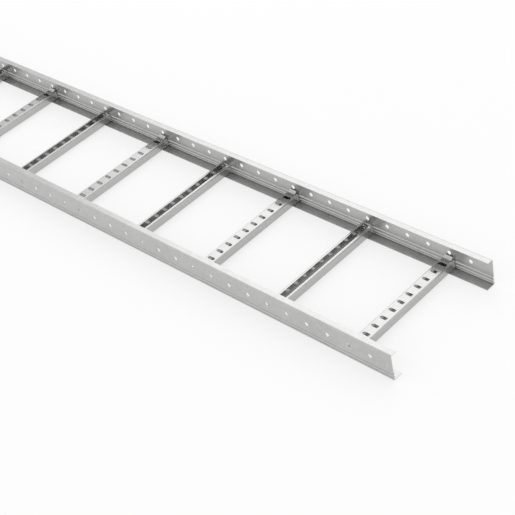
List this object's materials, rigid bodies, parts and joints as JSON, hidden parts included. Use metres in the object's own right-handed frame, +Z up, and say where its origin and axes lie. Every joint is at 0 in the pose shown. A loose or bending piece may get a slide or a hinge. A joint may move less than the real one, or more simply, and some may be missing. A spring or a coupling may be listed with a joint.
{
  "type": "cable ladder section",
  "caption": "Straight cable ladder section: two roll-formed side rails with punched webs, joined by slotted lipped channel rungs.",
  "frame": {"origin": "middle of the section on the floor plane, under the centre of its box", "axes": "+X along the ladder, +Y across it, +Z up, towards the open top"},
  "size_m": [3, 0.3, 0.06],
  "materials": {
    "rail_steel": "galvanised, satin",
    "rung_steel": "galvanised, slightly glossier than the rails"
  },
  "bodies": {
    "root": {"side_rail_left": "rail_steel", "side_rail_right": "rail_steel", "rung_01": "rung_steel", "rung_02": "rung_steel", "rung_03": "rung_steel", "rung_04": "rung_steel", "rung_05": "rung_steel", "rung_06": "rung_steel", "rung_07": "rung_steel", "rung_08": "rung_steel", "rung_09": "rung_steel", "rung_10": "rung_steel", "rung_11": "rung_steel", "rung_12": "rung_steel", "rung_13": "rung_steel", "rung_14": "rung_steel", "rung_15": "rung_steel"}
  },
  "joints": []
}
